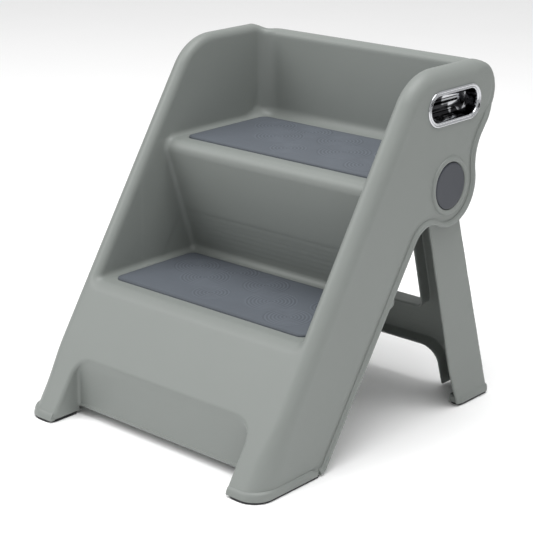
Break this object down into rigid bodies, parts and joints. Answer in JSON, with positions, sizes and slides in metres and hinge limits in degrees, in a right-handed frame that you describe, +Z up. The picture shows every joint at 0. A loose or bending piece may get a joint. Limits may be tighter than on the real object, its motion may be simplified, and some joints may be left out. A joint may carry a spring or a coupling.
{
  "type": "step stool",
  "caption": "Folding step stool with padded treads between tall side walls, recessed grips and a rear frame that swings forward to fold.",
  "frame": {"origin": "on the floor under the centre of the open stool's bounding box", "axes": "+X to the right-hand side, +Y to the rear, +Z up; the open pose is stored"},
  "size_m": [0.4, 0.456, 0.4497],
  "materials": {
    "shell": "satin moulded grey with a green tint",
    "frame": "satin moulded grey",
    "pad": "matt with fine ring ripples",
    "grip": "bright plated",
    "cap": "dark satin",
    "steel": "zinc plated",
    "bush": "natural",
    "foot": "matt"
  },
  "bodies": {
    "body": {"body_shell": "shell", "lower_tread_pad": "pad", "upper_tread_pad": "pad", "grip_cup_left": "grip", "grip_cup_right": "grip", "hinge_cap_left": "cap", "hinge_cap_right": "cap", "pivot_bolt_left": "steel", "pivot_bolt_right": "steel", "pivot_washer_left": "steel", "pivot_washer_right": "steel", "pivot_nut_left": "steel", "pivot_nut_right": "steel", "front_foot_left": "foot", "front_foot_right": "foot"},
    "rear_frame": {"rear_frame": "frame", "pivot_bush_left": "bush", "pivot_bush_right": "bush", "rear_foot_left": "foot", "rear_foot_right": "foot"}
  },
  "joints": [
    {"name": "rear_frame_fold", "type": "hinge", "parent": "body", "child": "rear_frame", "pos_m": [0, 0.1264, 0.303], "axis": [-1, 0, 0], "range_deg": [0, 34]}
  ]
}
